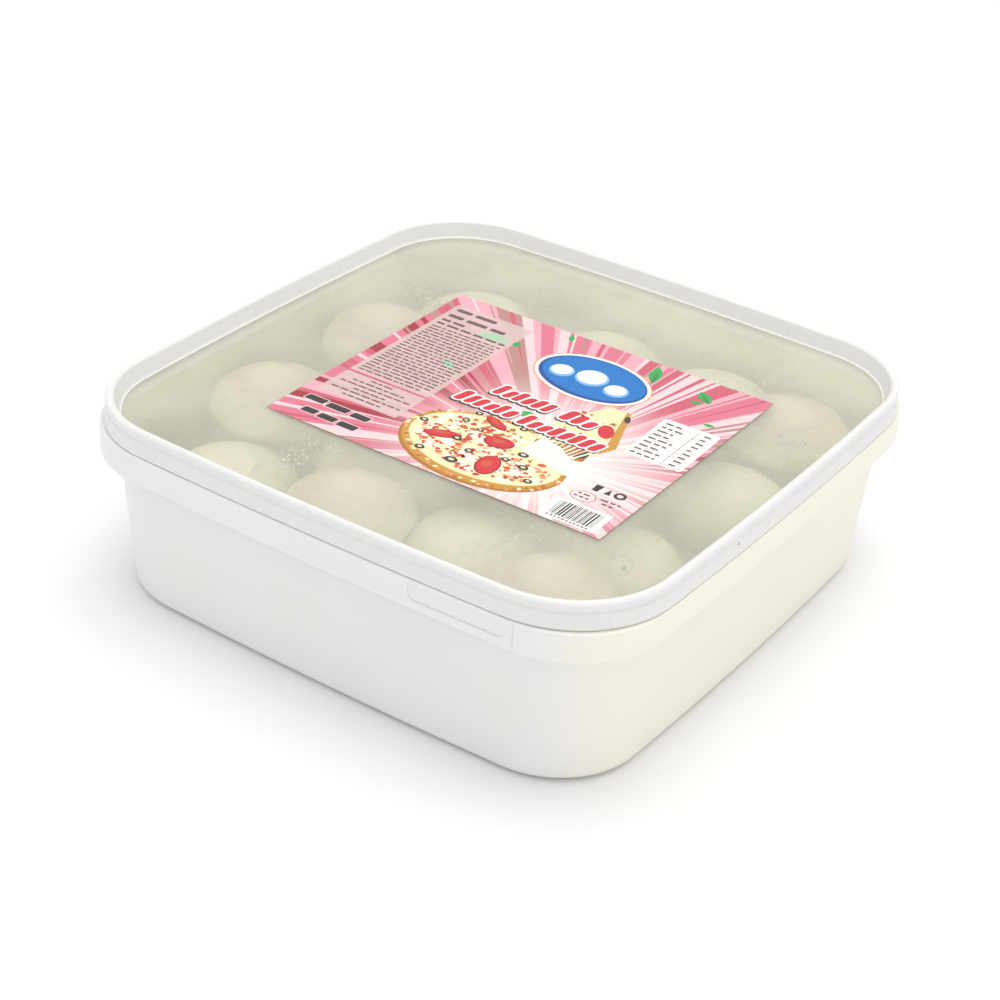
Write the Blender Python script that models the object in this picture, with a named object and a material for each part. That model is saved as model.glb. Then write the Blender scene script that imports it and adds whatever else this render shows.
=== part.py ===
"""Square plastic tub of mozzarella balls in brine, with a press-on lid and a plain printed label.

Origin: the centre of the tub's base, on the surface that it stands on. +Z is up, and the side
with the tear-off tab faces -Y. Lengths are written in millimetres and turned to metres by mm().
"""

import math
from dataclasses import dataclass

import bmesh
import bpy
from mathutils import Matrix, Vector

# ---------------------------------------------------------------- driving dimensions, in mm
WIDTH = 260.0              # outline of the lid, square in plan
HEIGHT = 87.0              # base to the lid's crest
SIDE_BOW = 1.5             # how far each side swells outwards between its corners

BASE_HALF = 120.4          # tub wall, half width just above the rounded bottom edge
NECK_HALF = 125.2          # tub wall, half width under the rim's flange
BASE_EDGE = 5.0            # radius of the rounded bottom edge
TUB_WALL = 1.5             # wall and floor thickness
BASE_CORNER = 36.7         # plan radius of the corners at the base
NECK_CORNER = 38.5         # plan radius of the corners under the flange

SKIRT_BOTTOM = 63.0        # lower edge of the collar that hangs from the flange
FLANGE_TOP = 75.4          # the lid's lip rests just above it
SKIRT_WALL = 1.3
SKIRT_CORNER = 40.7
RIM_WALL = 1.0             # upright wall that the lid presses over
RIM_TOP = 84.6

LID_WALL = 1.0
LID_CORNER = 45.0
LID_LIP = 75.9             # lower edge of the lid's outer wall
PANEL_DEPTH = 8.0          # the panel lies this far below the crest
PANEL_THICK = 1.2
FIT_GAP = 0.4              # air between the lid and the tub's rim

BRINE_LEVEL = 74.2
BRINE_GAP = 0.4
BALL_TOP = 76.8            # balls that float reach just under the lid
FLOOR_GAP = 0.3

LABEL_LONG = 158.0
LABEL_DEEP = 136.0
LABEL_THICK = 0.3
LABEL_CENTRE = (8.0, -2.4)
LABEL_TURN = 0.7           # degrees, the label isn't quite square to the lid

TAB_LEFT = 45.7            # tear-off tab in the collar on the -Y side
TAB_RIGHT = 87.8
TAB_BOTTOM = 66.6
TAB_DEPTH = 0.6
TAB_CORNER = 3.0
TAB_SLIT = 91.3

# ---------------------------------------------------------------- mesh resolution
CORNER_STEPS = 5
SIDE_STEPS = 4
BALL_SEGMENTS = 12
BALL_RINGS = 8
CAVITY_SCALE = 1.04        # the brine's hollow round a ball, against the ball


@dataclass(frozen=True)
class Ball:
    """One ball of cheese: its place in plan, its radius, and whether it floats or has sunk."""

    x: float
    y: float
    radius: float
    floats: bool
    turn: float


BALLS = [
    Ball(-90.0, -42.0, 28.0, True, 20.0),
    Ball(-91.0, 32.0, 27.5, True, 75.0),
    Ball(-78.0, 86.0, 27.5, False, 130.0),
    Ball(-71.0, -90.5, 27.0, False, 10.0),
    Ball(-32.0, -43.0, 29.0, False, 50.0),
    Ball(-12.0, -92.0, 26.0, True, 0.0),
    Ball(33.0, -71.0, 27.5, False, 35.0),
    Ball(84.0, -93.0, 26.5, True, 15.0),
    Ball(82.0, -43.0, 26.5, False, 100.0),
    Ball(90.0, 22.0, 28.0, False, 160.0),
    Ball(-33.0, 20.0, 28.0, True, 60.0),
    Ball(24.0, -14.0, 28.0, False, 120.0),
    Ball(22.0, 42.0, 28.0, True, 85.0),
    Ball(-12.0, 91.0, 27.0, False, 5.0),
    Ball(44.0, 91.5, 27.0, False, 145.0),
    Ball(91.0, 75.0, 26.5, True, 40.0),
]


def mm(value):
    """Millimetres to metres."""
    return value * 0.001


# ---------------------------------------------------------------- scene and materials
def clear_scene():
    """Remove every object so that the model starts from nothing."""
    for obj in list(bpy.data.objects):
        bpy.data.objects.remove(obj, do_unlink=True)


def make_collection(name):
    """Add a collection to the scene."""
    collection = bpy.data.collections.new(name)
    bpy.context.scene.collection.children.link(collection)
    return collection


def make_material(name, colour, roughness, alpha=1.0):
    """Make a Principled material with one colour."""
    material = bpy.data.materials.new(name)
    material.use_nodes = True
    shader = material.node_tree.nodes["Principled BSDF"]
    shader.inputs["Base Color"].default_value = (*colour, 1.0)
    shader.inputs["Roughness"].default_value = roughness
    shader.inputs["Metallic"].default_value = 0.0
    shader.inputs["Alpha"].default_value = alpha
    return material


def make_object(name, bm, material, collection, smooth_angle=30.0):
    """Turn a bmesh into a named object, with smooth shading between its sharp edges."""
    bmesh.ops.recalc_face_normals(bm, faces=bm.faces)
    mesh = bpy.data.meshes.new(name)
    bm.to_mesh(mesh)
    bm.free()
    mesh.shade_smooth()
    mesh.set_sharp_from_angle(angle=math.radians(smooth_angle))
    mesh.materials.append(material)
    obj = bpy.data.objects.new(name, mesh)
    collection.objects.link(obj)
    return obj


def make_cutter(name, bm, cutters):
    """Turn a bmesh into a cutter that isn't part of the model."""
    mesh = bpy.data.meshes.new(name)
    bm.to_mesh(mesh)
    bm.free()
    obj = bpy.data.objects.new(name, mesh)
    obj.hide_render = True
    obj.display_type = "WIRE"
    cutters.objects.link(obj)
    return obj


def cut(obj, cutter):
    """Cut one object's shape out of another."""
    modifier = obj.modifiers.new(cutter.name, "BOOLEAN")
    modifier.operation = "DIFFERENCE"
    modifier.solver = "EXACT"
    modifier.object = cutter


# ---------------------------------------------------------------- rounded squares and lofts
def rounded_square(half, corner, z):
    """Points of a square with round corners and sides that swell by SIDE_BOW, anticlockwise."""
    core = half - SIDE_BOW / 2 - corner
    points = []
    for quarter in range(4):
        turn = Matrix.Rotation(quarter * math.pi / 2, 4, "Z")
        for step in range(CORNER_STEPS + 1):
            angle = math.pi / 2 * step / CORNER_STEPS
            points.append(turn @ Vector((core + corner * math.cos(angle),
                                         core + corner * math.sin(angle), z)))
        for step in range(1, SIDE_STEPS):
            along = 1.0 - 2.0 * step / SIDE_STEPS
            swell = SIDE_BOW * (1.0 - along * along)
            points.append(turn @ Vector((core * along, core + corner + swell, z)))
    return [point * 0.001 for point in points]


def loft(profile):
    """Join the rounded squares of a profile of (half, corner, z), and close both ends."""
    bm = bmesh.new()
    rings = [[bm.verts.new(point) for point in rounded_square(*section)] for section in profile]
    for lower, upper in zip(rings, rings[1:]):
        count = len(lower)
        for index in range(count):
            after = (index + 1) % count
            bm.faces.new((lower[index], lower[after], upper[after], upper[index]))
    bm.faces.new(list(reversed(rings[0])))
    bm.faces.new(rings[-1])
    return bm


def fillet(half, z, radius, start, end, corner, steps=3):
    """Profile points on an arc round (half, z), from one angle to another in degrees."""
    points = []
    for step in range(steps + 1):
        angle = math.radians(start + (end - start) * step / steps)
        points.append((half + radius * math.cos(angle), corner, z + radius * math.sin(angle)))
    return points


def side_face(x, half, corner):
    """Y of the -Y side's face at x, for a rounded square, all in mm."""
    core = half - SIDE_BOW / 2 - corner
    return -(core + corner + SIDE_BOW * (1.0 - (x / core) ** 2))


def wall_half(z, inset):
    """Half width of the tapered tub wall at a height, less an inset."""
    share = (z - BASE_EDGE) / (FLANGE_TOP - TUB_WALL - BASE_EDGE)
    return BASE_HALF + (NECK_HALF - BASE_HALF) * share - inset


# ---------------------------------------------------------------- pieces
def tub_profile():
    """Section of the tub, from the middle of the base, up the outside and down the inside."""
    half = WIDTH / 2
    under_flange = FLANGE_TOP - TUB_WALL
    skirt_outer = half + 0.4
    skirt_inner = skirt_outer - SKIRT_WALL
    rim_outer = half - LID_WALL - FIT_GAP
    rim_inner = rim_outer - RIM_WALL
    inner_edge = BASE_EDGE - 0.2
    profile = fillet(BASE_HALF - BASE_EDGE, BASE_EDGE, BASE_EDGE, -90, 0, BASE_CORNER)
    profile += [
        (NECK_HALF, NECK_CORNER, under_flange),
        (skirt_inner - 0.2, SKIRT_CORNER, under_flange),
        (skirt_inner, SKIRT_CORNER, SKIRT_BOTTOM + 0.3),
        (skirt_inner + 0.4, SKIRT_CORNER, SKIRT_BOTTOM),
        (skirt_outer - 0.3, SKIRT_CORNER, SKIRT_BOTTOM),
        (skirt_outer, SKIRT_CORNER, SKIRT_BOTTOM + 0.4),
        (skirt_outer, SKIRT_CORNER, FLANGE_TOP - 0.7),
        (skirt_outer - 0.7, SKIRT_CORNER, FLANGE_TOP),
        (rim_outer + 0.2, LID_CORNER - 2.0, FLANGE_TOP),
        (rim_outer, LID_CORNER - 2.0, FLANGE_TOP + 0.8),
        (rim_outer, LID_CORNER - 2.0, RIM_TOP - 0.2),
        (rim_outer - 0.2, LID_CORNER - 2.0, RIM_TOP),
        (rim_inner + 0.2, LID_CORNER - 2.5, RIM_TOP),
        (rim_inner, LID_CORNER - 2.5, RIM_TOP - 0.2),
        (rim_inner, LID_CORNER - 2.5, FLANGE_TOP + 1.2),
        (wall_half(FLANGE_TOP - 2.0, TUB_WALL), NECK_CORNER, FLANGE_TOP - 2.0),
        (wall_half(BASE_EDGE + TUB_WALL, TUB_WALL), BASE_CORNER, BASE_EDGE + TUB_WALL),
    ]
    profile += fillet(BASE_HALF - TUB_WALL - inner_edge, TUB_WALL + inner_edge,
                      inner_edge, -25, -90, BASE_CORNER - 1.0, steps=2)
    return profile


def lid_profile():
    """Section of the lid: from the middle of the panel's underside, out round the rim, and back."""
    half = WIDTH / 2
    panel_top = HEIGHT - PANEL_DEPTH
    panel_under = panel_top - PANEL_THICK
    rim_outer = half - LID_WALL - FIT_GAP
    rim_inner = rim_outer - RIM_WALL
    channel_inner = rim_inner - 0.35
    outer_inside = half - LID_WALL + 0.05
    return [
        (channel_inner - 2.4, LID_CORNER - 5.0, panel_under),
        (channel_inner - 1.7, LID_CORNER - 4.6, panel_under + 0.4),
        (channel_inner, LID_CORNER - 3.0, RIM_TOP - 0.2),
        (channel_inner + 0.3, LID_CORNER - 2.8, RIM_TOP + 0.5),
        (rim_outer - 0.1, LID_CORNER - 1.6, RIM_TOP + 0.8),
        (outer_inside, LID_CORNER - 1.2, RIM_TOP + 0.2),
        (outer_inside, LID_CORNER - 1.0, LID_LIP + 0.3),
        (outer_inside + 0.2, LID_CORNER - 1.0, LID_LIP),
        (half + 0.1, LID_CORNER, LID_LIP),
        (half + 0.4, LID_CORNER, LID_LIP + 0.4),
        (half + 0.35, LID_CORNER, LID_LIP + 1.1),
        (half, LID_CORNER, LID_LIP + 1.7),
        (half - 0.05, LID_CORNER, HEIGHT - 5.2),
        (half - 0.4, LID_CORNER, HEIGHT - 4.7),
        (half - 0.4, LID_CORNER, HEIGHT - 4.0),
        (half - 0.05, LID_CORNER, HEIGHT - 3.5),
        (half - 0.1, LID_CORNER, HEIGHT - 1.5),
        (half - 0.6, LID_CORNER, HEIGHT - 0.5),
        (half - 1.6, LID_CORNER - 1.0, HEIGHT),
        (half - 2.8, LID_CORNER - 2.2, HEIGHT - 0.1),
        (half - 3.6, LID_CORNER - 3.2, HEIGHT - 0.8),
        (half - 4.0, LID_CORNER - 3.8, HEIGHT - 2.2),
        (half - 5.4, LID_CORNER - 5.0, panel_top + 0.9),
        (half - 6.3, LID_CORNER - 5.6, panel_top),
    ]


def brine_profile():
    """Section of the brine, which fills the tub up to its level."""
    low = TUB_WALL + BRINE_GAP
    edge = BASE_EDGE + TUB_WALL + 1.0
    return [
        (BASE_HALF - 7.6, BASE_CORNER - 2.0, low),
        (BASE_HALF - 4.4, BASE_CORNER - 1.5, low + 1.6),
        (wall_half(edge, TUB_WALL + BRINE_GAP), BASE_CORNER - 0.5, edge),
        (wall_half(FLANGE_TOP - 2.4, TUB_WALL + BRINE_GAP), NECK_CORNER - 0.5, FLANGE_TOP - 2.4),
        (wall_half(FLANGE_TOP - 2.4, TUB_WALL + BRINE_GAP), NECK_CORNER - 0.5, BRINE_LEVEL),
    ]


def ball_mesh(ball, index, scale=1.0):
    """A slightly uneven ball: a UV sphere, narrower one way than the other, turned and placed."""
    wave = math.sin(2.4 * index + 0.7)
    radius = ball.radius * 0.001
    size = Vector((1.0, 0.965 + 0.025 * wave, 0.975 - 0.02 * wave)) * radius
    if ball.floats:
        z = mm(BALL_TOP) - size.z
    else:
        z = mm(TUB_WALL + FLOOR_GAP) + size.z
    bm = bmesh.new()
    bmesh.ops.create_uvsphere(bm, u_segments=BALL_SEGMENTS, v_segments=BALL_RINGS, radius=1.0)
    place = (Matrix.Translation((mm(ball.x), mm(ball.y), z))
             @ Matrix.Rotation(math.radians(ball.turn), 4, "Z")
             @ Matrix.Diagonal((*(size * scale), 1.0)))
    bmesh.ops.transform(bm, matrix=place, verts=bm.verts)
    return bm


def box_mesh(size, corner=0.0, along="Y"):
    """A box of a size in mm round the origin, with the edges along one axis rounded."""
    bm = bmesh.new()
    bmesh.ops.create_cube(bm, size=1.0)
    bmesh.ops.transform(bm, matrix=Matrix.Diagonal((*map(mm, size), 1.0)), verts=bm.verts)
    if corner:
        axis = "XYZ".index(along)
        edges = []
        for edge in bm.edges:
            run = edge.verts[1].co - edge.verts[0].co
            if abs(run[axis]) > 0.99 * run.length:
                edges.append(edge)
        bmesh.ops.bevel(bm, geom=edges, offset=mm(corner), segments=4, profile=0.5,
                        affect="EDGES", clamp_overlap=True)
    return bm


def face_cutter(name, cutters, left, right, bottom, top, depth, corner=0.0):
    """A cutter that sinks to a depth into the bowed -Y face of the rim, between two x values."""
    reach = 4.0
    half = WIDTH / 2 + 0.4
    start = side_face(left, half, SKIRT_CORNER)
    end = side_face(right, half, SKIRT_CORNER)
    bm = box_mesh((right - left, reach, top - bottom), corner)
    centre = ((left + right) / 2, (start + end) / 2 + depth - reach / 2, (bottom + top) / 2)
    place = (Matrix.Translation([mm(value) for value in centre])
             @ Matrix.Rotation(math.atan2(end - start, right - left), 4, "Z"))
    bmesh.ops.transform(bm, matrix=place, verts=bm.verts)
    return make_cutter(name, bm, cutters)


def build_tub(parts, cutters):
    """The tub: tapered walls, a flange with a hanging collar, and a tear-off tab in the collar."""
    material = make_material("white_polypropylene", (0.86, 0.87, 0.87), 0.42)
    tub = make_object("tub", loft(tub_profile()), material, parts)
    cut(tub, face_cutter("tab_recess", cutters, TAB_LEFT, TAB_RIGHT, TAB_BOTTOM,
                         FLANGE_TOP - 1.6, TAB_DEPTH, TAB_CORNER))
    cut(tub, face_cutter("tab_slit", cutters, TAB_SLIT - 0.25, TAB_SLIT + 0.25,
                         TAB_BOTTOM - 1.2, FLANGE_TOP + 1.0, TAB_DEPTH))
    return tub


def build_lid(parts, cutters):
    """The press-on lid: a rim channel over the tub's rim, round a sunken panel."""
    material = make_material("natural_polypropylene", (0.84, 0.85, 0.80), 0.35, alpha=0.45)
    lid = make_object("lid", loft(lid_profile()), material, parts)
    cut(lid, face_cutter("lip_notch", cutters, TAB_LEFT + 0.3, TAB_LEFT + 0.9,
                         LID_LIP - 2.0, LID_LIP + 3.2, TAB_DEPTH))
    return lid


def build_label(parts):
    """The label: a thin sheet on the lid's panel."""
    material = make_material("printed_paper", (0.80, 0.36, 0.40), 0.4)
    bm = box_mesh((LABEL_LONG, LABEL_DEEP, LABEL_THICK), 1.0, "Z")
    lift = HEIGHT - PANEL_DEPTH + 0.3 + LABEL_THICK / 2
    place = (Matrix.Translation((mm(LABEL_CENTRE[0]), mm(LABEL_CENTRE[1]), mm(lift)))
             @ Matrix.Rotation(math.radians(LABEL_TURN), 4, "Z"))
    bmesh.ops.transform(bm, matrix=place, verts=bm.verts)
    return make_object("label", bm, material, parts)


def build_balls(parts):
    """The balls of cheese, each its own solid."""
    material = make_material("mozzarella", (0.84, 0.82, 0.72), 0.38)
    for index, ball in enumerate(BALLS, start=1):
        make_object(f"mozzarella_ball_{index:02d}", ball_mesh(ball, index), material, parts,
                    smooth_angle=80.0)


def build_brine(parts, cutters):
    """The brine: the tub's inside up to the level, with a hollow round each ball."""
    material = make_material("cloudy_brine", (0.76, 0.77, 0.66), 0.12)
    brine = make_object("brine", loft(brine_profile()), material, parts)
    for index, ball in enumerate(BALLS, start=1):
        hollow = ball_mesh(ball, index, CAVITY_SCALE)
        cut(brine, make_cutter(f"hollow_{index:02d}", hollow, cutters))
    return brine


def main():
    """Build the whole tub."""
    clear_scene()
    parts = make_collection("mozzarella_tub")
    cutters = make_collection("cutters")
    cutters.hide_render = True
    build_tub(parts, cutters)
    build_lid(parts, cutters)
    build_label(parts)
    build_balls(parts)
    build_brine(parts, cutters)


main()
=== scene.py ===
"""Looks of a square plastic tub of mozzarella balls in brine, under a press-on lid with a label.

Shapes are written in millimetres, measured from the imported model's boxes where they can be, and
turned to metres when a mesh is made. +Z is up and the tear-off tab faces -Y.
"""

import logging
import math
import random
from dataclasses import dataclass, field
from enum import Enum

import bmesh
import bpy
from mathutils import Matrix, Vector, noise

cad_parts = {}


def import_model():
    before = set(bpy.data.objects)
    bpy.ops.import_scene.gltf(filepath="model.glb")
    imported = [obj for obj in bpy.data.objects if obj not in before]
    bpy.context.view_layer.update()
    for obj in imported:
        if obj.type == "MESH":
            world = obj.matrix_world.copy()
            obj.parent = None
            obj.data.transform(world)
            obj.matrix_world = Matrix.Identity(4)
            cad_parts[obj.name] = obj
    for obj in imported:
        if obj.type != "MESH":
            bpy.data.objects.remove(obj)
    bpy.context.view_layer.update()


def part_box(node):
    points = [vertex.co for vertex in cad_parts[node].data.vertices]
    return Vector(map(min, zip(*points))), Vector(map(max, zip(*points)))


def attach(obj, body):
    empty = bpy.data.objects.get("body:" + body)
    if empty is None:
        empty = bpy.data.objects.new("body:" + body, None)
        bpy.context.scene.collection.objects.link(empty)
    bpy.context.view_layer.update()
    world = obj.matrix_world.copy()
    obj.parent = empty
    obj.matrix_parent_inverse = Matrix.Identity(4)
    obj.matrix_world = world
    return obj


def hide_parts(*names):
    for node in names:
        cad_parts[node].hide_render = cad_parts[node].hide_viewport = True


MM = 0.001
BODY = "root"
LOG = logging.getLogger("mozzarella_tub")

Colour = tuple[float, float, float, float]
Outline = list[tuple[float, float]]


# ------------------------------------------------------------------------------- small helpers
def linear(hex_colour: str) -> Colour:
    """Turn an sRGB hex colour to linear.

    Args:
        hex_colour: Six hex digits after a hash sign.

    Returns:
        Linear red, green and blue, and an alpha of 1.
    """
    channels = [int(hex_colour[start:start + 2], 16) / 255 for start in (1, 3, 5)]
    return (*((c / 12.92 if c <= 0.04045 else ((c + 0.055) / 1.055) ** 2.4) for c in channels), 1.0)


def add_node(tree: bpy.types.NodeTree, kind: str, inputs: dict | None = None,
             **settings: object) -> bpy.types.Node:
    """Add a node with its settings, and set or link its inputs.

    Args:
        tree: The tree that the node goes in.
        kind: The node's type name.
        inputs: Input names or numbers, each with a value or with the socket that feeds it.
        settings: The node's own properties.

    Returns:
        The new node.
    """
    node = tree.nodes.new(kind)
    for name, value in settings.items():
        setattr(node, name, value)
    for key, value in (inputs or {}).items():
        if isinstance(value, bpy.types.NodeSocket):
            tree.links.new(value, node.inputs[key])
        else:
            node.inputs[key].default_value = value
    return node


def new_material(name: str) -> tuple[bpy.types.Material, bpy.types.NodeTree]:
    """Make an empty node material.

    Args:
        name: The material's name.

    Returns:
        The material and its tree.
    """
    material = bpy.data.materials.new(name)
    material.use_nodes = True
    material.node_tree.nodes.clear()
    return material, material.node_tree


def mesh_object(name: str, bm: bmesh.types.BMesh, materials: list[bpy.types.Material],
                sharp_angle: float = 40.0) -> bpy.types.Object:
    """Make an object from a bmesh, smooth between its sharp edges.

    Args:
        name: The piece's name.
        bm: The mesh in metres; it is freed.
        materials: The materials of its slots, in order.
        sharp_angle: Edges that turn by more than this many degrees stay sharp.

    Returns:
        The new object, linked to the scene.
    """
    mesh = bpy.data.meshes.new(name)
    bm.to_mesh(mesh)
    bm.free()
    mesh.shade_smooth()
    mesh.set_sharp_from_angle(angle=math.radians(sharp_angle))
    for material in materials:
        mesh.materials.append(material)
    piece = bpy.data.objects.new(name, mesh)
    bpy.context.scene.collection.objects.link(piece)
    return piece


def place_piece(piece: bpy.types.Object, slot: str, *nodes: str) -> None:
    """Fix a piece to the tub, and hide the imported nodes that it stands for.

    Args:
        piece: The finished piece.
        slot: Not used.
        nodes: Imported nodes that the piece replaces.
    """
    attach(piece, BODY)
    if nodes:
        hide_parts(*nodes)
    LOG.info("%s: %d faces", piece.name, len(piece.data.polygons))


# ------------------------------------------------------------------------------- finishes
@dataclass(frozen=True)
class MouldedPolypropylene:
    """White polypropylene from a polished mould: satin, with a faint orange-peel in its gloss."""

    name: str = "white_polypropylene_moulded"
    colour: str = "#EFEFF0"
    shade: str = "#EAEAEC"
    # Painted light: the colour of the warm spots where balls lean on the wall.
    warm: str = "#F6ECD2"
    roughness: float = 0.36
    peel_mm: float = 2.2
    cloud_mm: float = 60.0
    contacts: tuple[tuple[float, float, float], ...] = ()
    lit_spot_mm: float = 30.0
    lit_spot_strength: float = 0.16
    # Painted light: the warm tint of the +X side, which grows from the first x to the second.
    glow: str = "#F5F1E4"
    lit_side_from_mm: float = 92.0
    lit_side_to_mm: float = 124.0

    def build(self) -> bpy.types.Material:
        """Build the material, with painted light: the wall is tinted warm towards +X, and in warm spots
        where balls lean on it, standing in for light that comes through the thin wall from the cheese.
        """
        material, tree = new_material(self.name)
        place = add_node(tree, "ShaderNodeTexCoord").outputs["Object"]
        cloud = add_node(tree, "ShaderNodeTexNoise", {"Vector": place, "Scale": 1 / (self.cloud_mm * MM),
                                                      "Detail": 2.0})
        colour = add_node(tree, "ShaderNodeMix", {0: cloud.outputs["Fac"], 6: linear(self.colour),
                                                  7: linear(self.shade)},
                          data_type="RGBA").outputs[2]
        # Painted light: the wall turns warmer towards +X.
        across = add_node(tree, "ShaderNodeSeparateXYZ", {"Vector": place}).outputs["X"]
        glow = add_node(tree, "ShaderNodeMapRange",
                        {"Value": across, "From Min": self.lit_side_from_mm * MM,
                         "From Max": self.lit_side_to_mm * MM},
                        interpolation_type="SMOOTHSTEP").outputs["Result"]
        colour = add_node(tree, "ShaderNodeMix", {0: glow, 6: colour, 7: linear(self.glow)},
                          data_type="RGBA").outputs[2]
        # Painted light: each spot warms the wall where a ball leans on it.
        for centre in self.contacts:
            reach = add_node(tree, "ShaderNodeVectorMath", {0: place, 1: Vector(centre) * MM},
                             operation="DISTANCE").outputs["Value"]
            spot = add_node(tree, "ShaderNodeMapRange",
                            {"Value": reach, "From Min": 0.2 * self.lit_spot_mm * MM,
                             "From Max": self.lit_spot_mm * MM, "To Min": self.lit_spot_strength,
                             "To Max": 0.0}, interpolation_type="SMOOTHSTEP").outputs["Result"]
            colour = add_node(tree, "ShaderNodeMix", {0: spot, 6: colour, 7: linear(self.warm)},
                              data_type="RGBA").outputs[2]
        peel = add_node(tree, "ShaderNodeTexNoise", {"Vector": place, "Scale": 1 / (self.peel_mm * MM),
                                                     "Detail": 1.0})
        bump = add_node(tree, "ShaderNodeBump", {"Height": peel.outputs["Fac"], "Strength": 0.05,
                                                 "Distance": 0.05 * MM})
        gloss = add_node(tree, "ShaderNodeMapRange",
                         {"Value": cloud.outputs["Fac"], "From Min": 0.3, "From Max": 0.7,
                          "To Min": self.roughness - 0.03, "To Max": self.roughness + 0.05})
        shader = add_node(tree, "ShaderNodeBsdfPrincipled",
                          {"Base Color": colour, "Roughness": gloss.outputs["Result"],
                           "Normal": bump.outputs["Normal"], "IOR": 1.49,
                           "Subsurface Weight": 0.15, "Subsurface Scale": 2 * MM,
                           "Subsurface Radius": (1.0, 0.9, 0.75)})
        add_node(tree, "ShaderNodeOutputMaterial", {"Surface": shader.outputs["BSDF"]})
        return material


@dataclass(frozen=True)
class DepthShadedPolypropylene:
    """The tub's inner wall under cloudy brine, with painted shade: it fades from cream to grey-green with
    depth, standing in for the shade and the brine's cloudiness deep down.
    """

    name: str = "polypropylene_depth_shaded"
    # Painted shade: cream at the brine's surface, grey-green at the end of the fade.
    shallow: str = "#F8F7EA"
    deep: str = "#A9AB88"
    surface_z: float = 0.0
    fade_mm: float = 60.0
    roughness: float = 0.4

    def build(self) -> bpy.types.Material:
        """Build the material, with its painted shade measured down from the brine's surface."""
        material, tree = new_material(self.name)
        colour = painted_depth_shading(tree, self.shallow, self.deep, self.surface_z, self.fade_mm)
        shader = add_node(tree, "ShaderNodeBsdfPrincipled",
                          {"Base Color": colour, "Roughness": self.roughness})
        add_node(tree, "ShaderNodeOutputMaterial", {"Surface": shader.outputs["BSDF"]})
        return material


def painted_depth_shading(tree: bpy.types.NodeTree, shallow: str, deep: str, surface_z: float,
               fade_mm: float) -> bpy.types.NodeSocket:
    """Painted light and shade: colour that goes from one shade at the brine's surface to another at a
    depth.

    Args:
        tree: The material's tree.
        shallow: Hex colour at the surface.
        deep: Hex colour at the end of the fade.
        surface_z: The surface's height in metres.
        fade_mm: How deep the fade goes.

    Returns:
        The socket that carries the colour.
    """
    place = add_node(tree, "ShaderNodeTexCoord").outputs["Object"]
    height = add_node(tree, "ShaderNodeSeparateXYZ", {"Vector": place}).outputs["Z"]
    depth = add_node(tree, "ShaderNodeMapRange",
                     {"Value": height, "From Min": surface_z, "From Max": surface_z - fade_mm * MM},
                     interpolation_type="SMOOTHSTEP").outputs["Result"]
    return add_node(tree, "ShaderNodeMix", {0: depth, 6: linear(shallow), 7: linear(deep)},
                    data_type="RGBA").outputs[2]


@dataclass(frozen=True)
class NaturalPolypropylene:
    """Unpigmented polypropylene of the lid: milky and see-through, hazier where it is thick."""

    name: str
    colour: str = "#F4F4F0"
    haze: float = 0.5
    haze_spread: float = 0.0
    far_haze: float = 0.0
    fog_mm: float = 45.0
    roughness: float = 0.28

    def build(self) -> bpy.types.Material:
        """Build the material; with a spread, fog under the plastic changes how much it hides."""
        material, tree = new_material(self.name)
        place = add_node(tree, "ShaderNodeTexCoord").outputs["Object"]
        fog = add_node(tree, "ShaderNodeTexNoise", {"Vector": place, "Scale": 1 / (self.fog_mm * MM),
                                                    "Detail": 3.0, "Roughness": 0.45})
        gloss = add_node(tree, "ShaderNodeMapRange",
                         {"Value": fog.outputs["Fac"], "From Min": 0.3, "From Max": 0.7,
                          "To Min": self.roughness - 0.04, "To Max": self.roughness + 0.06})
        shader = add_node(tree, "ShaderNodeBsdfPrincipled",
                          {"Base Color": linear(self.colour), "IOR": 1.49,
                           "Roughness": gloss.outputs["Result"], "Alpha": self.haze})
        if self.haze_spread:
            veil = add_node(tree, "ShaderNodeMapRange",
                            {"Value": fog.outputs["Fac"], "From Min": 0.32, "From Max": 0.68,
                             "To Min": self.haze - self.haze_spread,
                             "To Max": self.haze + self.haze_spread})
            along = add_node(tree, "ShaderNodeSeparateXYZ", {"Vector": place}).outputs["Y"]
            rear = add_node(tree, "ShaderNodeMapRange",
                            {"Value": along, "From Min": -0.02, "From Max": 0.1, "To Max": self.far_haze})
            cover = add_node(tree, "ShaderNodeMath", {0: veil.outputs["Result"],
                                                      1: rear.outputs["Result"]}, operation="ADD")
            tree.links.new(cover.outputs["Value"], shader.inputs["Alpha"])
        add_node(tree, "ShaderNodeOutputMaterial", {"Surface": shader.outputs["BSDF"]})
        return material


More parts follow.
